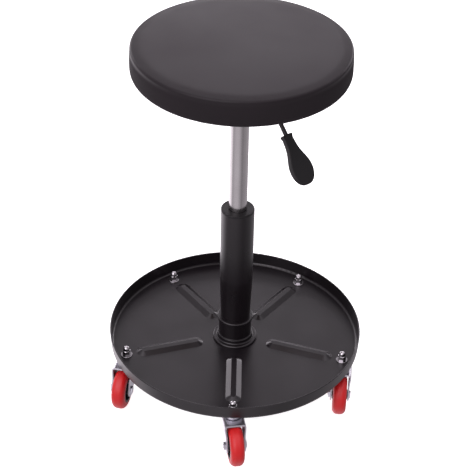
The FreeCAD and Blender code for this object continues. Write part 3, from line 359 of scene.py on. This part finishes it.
bottom_edge = arc_rings((blank_radius - UNDER_ROUNDING, cover_low.z + UNDER_ROUNDING), UNDER_ROUNDING,
                        -90, 0, EDGE_STEPS)
top_edge = arc_rings((blank_radius - TOP_ROUNDING, blank_top - TOP_ROUNDING), TOP_ROUNDING,
                     0, 90, EDGE_STEPS)
under_inner = (cushion_radius - turned_under, cover_low.z)
under_step = (under_inner[0] - STEP_SLOPE, cover_low.z + BOARD_STEP)
under_middle = (INNERMOST_RING, under_step[1])
rings = [under_middle] + straight_rings(under_middle, under_step)
rings += [under_step, under_inner] + straight_rings(under_inner, bottom_edge[0]) + bottom_edge
rings += straight_rings(bottom_edge[-1], top_edge[0]) + top_edge
top_middle = (INNERMOST_RING, blank_top)
top_flat = straight_rings(top_edge[-1], top_middle) + [top_middle]
crown_radius = top_edge[-1][0]
rings += [(out, up + CROWN * (1 - (out / crown_radius) ** 2)) for out, up in top_flat]

select_only(nodes["seat_cover"])
bpy.ops.object.select_all(action="DESELECT")
bpy.ops.mesh.primitive_circle_add(vertices=CUSHION_SIDES, radius=rings[0][0], fill_type="NGON",
                                  location=(0, 0, rings[0][1]))
cushion = bpy.context.object
bpy.ops.object.transform_apply(location=True, rotation=True, scale=True)
bpy.ops.object.mode_set(mode="EDIT")
bpy.ops.mesh.select_all(action="SELECT")
for (was_out, was_up), (out, up) in zip(rings, rings[1:]):
    bpy.ops.mesh.extrude_region_move(TRANSFORM_OT_translate={"value": (0, 0, up - was_up)})
    bpy.ops.transform.resize(value=(out / was_out, out / was_out, 1), center_override=(0, 0, 0))
bpy.ops.mesh.select_all(action="SELECT")
bpy.ops.mesh.normals_make_consistent(inside=False)
bpy.ops.object.mode_set(mode="OBJECT")
print("cushion blank:", len(rings), "rings,", len(cushion.data.polygons), "faces")

# %% [markdown]
# ### Swelling it
# Cloth with a little pressure inside is run for twenty steps. How far any point may move is capped, because
# foam gives only so much, and the part stapled to the board is held still, because it can't move at all.
# The pull of the cover evens the swelling out round the seat, so each ring shares most of its movement.

# %% Cushion simulation
STAPLED_HEIGHT = 3 * MM                       # above the bottom: held still up to here
FREE_OVER = 12 * MM                           # and quite free this much higher
AXIS_GUARD = 1e-6                             # keeps a division off zero on the axis


def swell_cushion(piece, steps=20, most=0.8 * MM, shared=0.85):
    start = [v.co.copy() for v in piece.data.vertices]
    cloth = piece.modifiers.new("Cloth", "CLOTH")
    cloth.settings.use_pressure = True
    cloth.settings.uniform_pressure_force = 4.0
    cloth.settings.effector_weights.gravity = 0.0
    cloth.point_cache.frame_start = 1
    cloth.point_cache.frame_end = steps
    for step in range(1, steps + 1):
        bpy.context.scene.frame_set(step)
    swollen = piece.evaluated_get(bpy.context.evaluated_depsgraph_get())
    after = [v.co.copy() for v in swollen.data.vertices]
    select_only(piece)
    bpy.ops.object.modifier_remove(modifier=cloth.name)
    bpy.context.scene.frame_set(1)
    by_ring = {}
    for index, (old, new) in enumerate(zip(start, after)):
        out = max(math.hypot(old.x, old.y), AXIS_GUARD)
        moved = new - old
        outward = (moved.x * old.x + moved.y * old.y) / out
        name = (round(out / MM, 1), round(old.z / MM, 1))
        by_ring.setdefault(name, []).append((index, outward, moved))
    for members in by_ring.values():
        ring_out = sum(outward for index, outward, moved in members) / len(members)
        ring_up = sum(moved.z for index, outward, moved in members) / len(members)
        for index, outward, moved in members:
            old = start[index]
            out = max(math.hypot(old.x, old.y), AXIS_GUARD)
            even = moved.copy()
            even.x, even.y, even.z = ring_out * old.x / out, ring_out * old.y / out, ring_up
            step = even * shared + moved * (1 - shared)
            if step.length > most:
                step *= most / step.length
            hold = min(1.0, max(0.0, (old.z - cover_low.z - STAPLED_HEIGHT) / FREE_OVER))
            piece.data.vertices[index].co = old + step * hold
    print("cushion swelled by up to", round(max((a - b).length for a, b in zip(after, start)) / MM, 1), "mm")


SIDE_SLACK = 1.0 * MM                         # the cushion stays this far inside its design radius
swell_cushion(cushion)
apply_modifier(cushion, "SUBSURF", levels=1, render_levels=1)
swollen_radius = max(math.hypot(v.co.x, v.co.y) for v in cushion.data.vertices)
swollen_low = min(v.co.z for v in cushion.data.vertices)
swollen_high = max(v.co.z for v in cushion.data.vertices)
spread = (cushion_radius - SIDE_SLACK) / swollen_radius
lift = (cover_high.z - cover_low.z) / (swollen_high - swollen_low)
select_only(cushion)
bpy.ops.object.mode_set(mode="EDIT")
bpy.ops.mesh.select_all(action="SELECT")
bpy.ops.transform.translate(value=(0, 0, cover_low.z - swollen_low))
bpy.ops.transform.resize(value=(spread, spread, lift), center_override=(0, 0, cover_low.z))
bpy.ops.object.mode_set(mode="OBJECT")
print("cushion fitted by", round(spread, 4), "across and", round(lift, 4), "up")
cushion.data.materials.clear()
cushion.data.materials.append(black_vinyl)

# %% [markdown]
# ### Pleats underneath
# A flat sheet pulled round a circle has cloth to spare where it turns under the edge, so it gathers into
# small pleats that fan in towards the staples. Each vertex there is lifted or lowered by a wave round the
# seat, uneven from pleat to pleat, and strongest near the staples.

# %% Pleats
PLEATS = 44
PLEAT_DEPTH = 0.9 * MM
PLEATED_HEIGHT = 5 * MM                       # only this low on the cushion
PLEAT_WANDER = 1.3                            # how unevenly the pleats are spaced
PLEAT_FADE = 0.3                              # how much their depth changes round the seat
PLEAT_GROWTH = 1.4                            # full depth is reached before the staples
gathered = 0
for vertex in cushion.data.vertices:
    out = math.hypot(vertex.co.x, vertex.co.y)
    if vertex.co.z > cover_low.z + PLEATED_HEIGHT or out < cushion_radius - turned_under:
        continue
    around = math.atan2(vertex.co.y, vertex.co.x)
    depth = 1 - PLEAT_FADE + PLEAT_FADE * math.sin(9 * around)
    wave = math.sin(PLEATS * around + PLEAT_WANDER * math.sin(5 * around)) * depth
    share = min(1.0, (cushion_radius - out) / turned_under * PLEAT_GROWTH)
    vertex.co.z += PLEAT_DEPTH * share * (0.5 + 0.5 * wave)
    gathered += 1
print("vertices gathered:", gathered)

# %% Hang the cushion
finish_piece(cushion, "seat_cushion", "seat", smooth_angle=60)
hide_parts("seat_cover", "seat_foam")

# %% [markdown]
# ## The lever's grip
# A moulded plastic paddle pushed onto the lever's rod: a neck with a raised lip where the rod goes in, then
# a flat blade that flares and ends round. It is drawn flat along X as a bar that is extruded a little at a
# time and scaled to each width, its edges are rounded, and then it is laid on the rod's slope.

# %% Grip outline
LEVER_AZIMUTH = math.radians(-45)
LEVER_DROP = math.radians(51.5)
BEND_PLACE = (50.5 * MM, 544.0 * MM)          # off the column's axis, above the floor
GRIP_START = 65.6 * MM                        # from the bend, down the rod
GRIP_ROUNDING = 2.6 * MM
GRIP_STATIONS = [                             # along the grip, full width, thickness, in millimetres
    (0.0, 15.4, 8.4), (0.8, 17.2, 9.0), (3.6, 17.4, 9.0), (4.6, 15.6, 7.8), (8.0, 15.4, 7.8),
    (16.0, 16.4, 8.0), (24.0, 19.0, 8.3), (30.0, 23.2, 8.5), (36.0, 28.6, 8.6), (42.0, 33.4, 8.7),
    (48.0, 36.2, 8.7), (54.0, 37.0, 8.7), (60.0, 35.6, 8.6), (65.5, 32.0, 8.5), (69.8, 27.0, 8.3),
    (73.0, 20.8, 8.1), (75.4, 13.0, 7.8), (76.6, 5.6, 7.4)]

length, width, thickness = (value * MM for value in GRIP_STATIONS[0])
bpy.ops.object.select_all(action="DESELECT")
bpy.ops.mesh.primitive_plane_add(size=1.0, location=(0, 0, 0), rotation=(0, -math.pi / 2, 0))
grip = bpy.context.object
grip.scale = (thickness, width, 1)
bpy.ops.object.transform_apply(location=True, rotation=True, scale=True)
bpy.ops.object.mode_set(mode="EDIT")
bpy.ops.mesh.select_all(action="SELECT")
for station in GRIP_STATIONS[1:]:
    next_length, next_width, next_thickness = (value * MM for value in station)
    bpy.ops.mesh.extrude_region_move(TRANSFORM_OT_translate={"value": (next_length - length, 0, 0)})
    bpy.ops.transform.resize(value=(1, next_width / width, next_thickness / thickness),
                             center_override=(next_length, 0, 0))
    length, width, thickness = next_length, next_width, next_thickness
bpy.ops.mesh.select_all(action="SELECT")
bpy.ops.mesh.normals_make_consistent(inside=False)
rims = pick(grip, "edges", lambda e, m: abs(m.y) > 1e-5 and abs(m.z) > 1e-5)
bpy.ops.mesh.bevel(offset=GRIP_ROUNDING, segments=4, affect="EDGES", clamp_overlap=True)
bpy.ops.object.mode_set(mode="OBJECT")
print("grip rims rounded:", rims)

# %% Lay the grip on the rod
apply_modifier(grip, "SUBSURF", levels=1, render_levels=1)
slope = Matrix.Rotation(LEVER_AZIMUTH, 4, "Z") @ Matrix.Rotation(LEVER_DROP, 4, "Y")
bend = Matrix.Rotation(LEVER_AZIMUTH, 4, "Z") @ Matrix.Translation((BEND_PLACE[0], 0, BEND_PLACE[1]))
grip.matrix_world = Matrix.Translation(bend.translation) @ slope @ Matrix.Translation((GRIP_START, 0, 0))
grip.data.materials.append(black_plastic)
finish_piece(grip, "lever_grip", "lever", smooth_angle=40)
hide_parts("lever_paddle")

# %% [markdown]
# ## Studio
# A white floor in a plain pale room. Satin black shows only what it mirrors, so the room is drawn for that:
# a strip low at the back that the seat's top mirrors, one beside it at each side for the ribs, a high one
# for the tray, and a brighter left side that the chrome and the column show as a pale edge. The floor is
# there for the eye alone: the light that comes up at the stool is part of the room.

# %% Floor
FLOOR_SIZE = 30                               # metres, past the edge of any view
FLOOR_GLOW = 0.85                             # lifts the floor's white to the room's
bpy.context.scene.view_settings.view_transform = "Standard"
bpy.ops.object.select_all(action="DESELECT")
bpy.ops.mesh.primitive_plane_add(size=FLOOR_SIZE, location=(0, 0, 0))
floor = bpy.context.object
floor.name = "studio_floor"
white_paint, tree, shader, where = start_material("white_studio_paint", metallic=0.0, ior=1.45, roughness=0.9)
shader.inputs["Base Color"].default_value = linear("#e8e8e8")
shader.inputs["Emission Color"].default_value = linear("#ffffff")
shader.inputs["Emission Strength"].default_value = FLOOR_GLOW
floor.data.materials.append(white_paint)
floor.visible_diffuse = False
floor.visible_glossy = False

# %% [markdown]
# ### The room round it
# Each patch of the room is a soft spot in one direction: its brightness falls away with the angle from
# that direction. A patch with a negative strength is a dark flag that takes light away.

# %% Room
ROOM_LIGHT = 0.42
ROOM_DARKEST = 0.02                           # a flag can't take away more light than there is
ROOM_TINT = "#fff7ff"
PATCHES = [                                   # azimuth, elevation, half angle in degrees, strength
    (90, 85, 48, 1.2), (90, 51, 13, 0.45), (90, 19, 12, 4.0), (59, 15, 16, 4.0), (121, 15, 16, 4.4),
    (40, -30, 45, 0.1), (138, -30, 50, 1.35), (-112, -36, 55, 0.35), (-62, -36, 30, -0.12),
    (0, -88, 45, 0.6), (-125, 42, 40, 2.5), (-50, 42, 35, 0.1)]
world = bpy.data.worlds.new("studio")
world.use_nodes = True
bpy.context.scene.world = world
tree = world.node_tree
tree.nodes.clear()
heading = add_node(tree, "ShaderNodeTexCoord").outputs["Generated"]
light = add_node(tree, "ShaderNodeMath", {0: ROOM_LIGHT, 1: 0.0}, operation="ADD").outputs["Value"]
for azimuth, elevation, half_angle, strength in PATCHES:
    a, e = math.radians(azimuth), math.radians(elevation)
    aim = Vector((math.cos(a) * math.cos(e), math.sin(a) * math.cos(e), math.sin(e)))
    facing = add_node(tree, "ShaderNodeVectorMath", {1: aim}, {0: heading}, operation="DOT_PRODUCT")
    patch = add_node(tree, "ShaderNodeMapRange",
                     {"From Min": math.cos(math.radians(half_angle)), "From Max": 1.0,
                      "To Min": 0.0, "To Max": strength},
                     {"Value": facing.outputs["Value"]}, interpolation_type="SMOOTHSTEP")
    light = add_node(tree, "ShaderNodeMath", links={0: light, 1: patch.outputs["Result"]},
                     operation="ADD").outputs["Value"]
light = add_node(tree, "ShaderNodeMath", {1: ROOM_DARKEST}, {0: light}, operation="MAXIMUM").outputs["Value"]
sky = add_node(tree, "ShaderNodeBackground", {"Color": linear(ROOM_TINT)}, {"Strength": light})
add_node(tree, "ShaderNodeOutputWorld", links={"Surface": sky.outputs["Background"]})
print("room patches:", len(PATCHES))

# %% [markdown]
# ## Camera
# A long lens, a little under two metres in front of the stool and looking down on it by 35 degrees. It is
# held a degree off level, so uprights lean a little to the right.

# %% Camera
CAMERA_PLACE = (0.0, -1.858, 1.5836)
CAMERA_DOWN = math.radians(35.194)
CAMERA_TURN = math.radians(0.103)
CAMERA_ROLL = math.radians(1.345)
LENS_MM = 114.54
SENSOR_MM = 36.0

camera_data = bpy.data.cameras.new("camera")
camera_data.lens = LENS_MM
camera_data.sensor_width = SENSOR_MM
camera = bpy.data.objects.new("camera", camera_data)
bpy.context.scene.collection.objects.link(camera)
aimed = Euler((math.pi / 2 - CAMERA_DOWN, 0, CAMERA_TURN)).to_matrix()
camera.rotation_euler = (aimed @ Matrix.Rotation(CAMERA_ROLL, 3, "Z")).to_euler()
camera.location = CAMERA_PLACE
bpy.context.scene.camera = camera
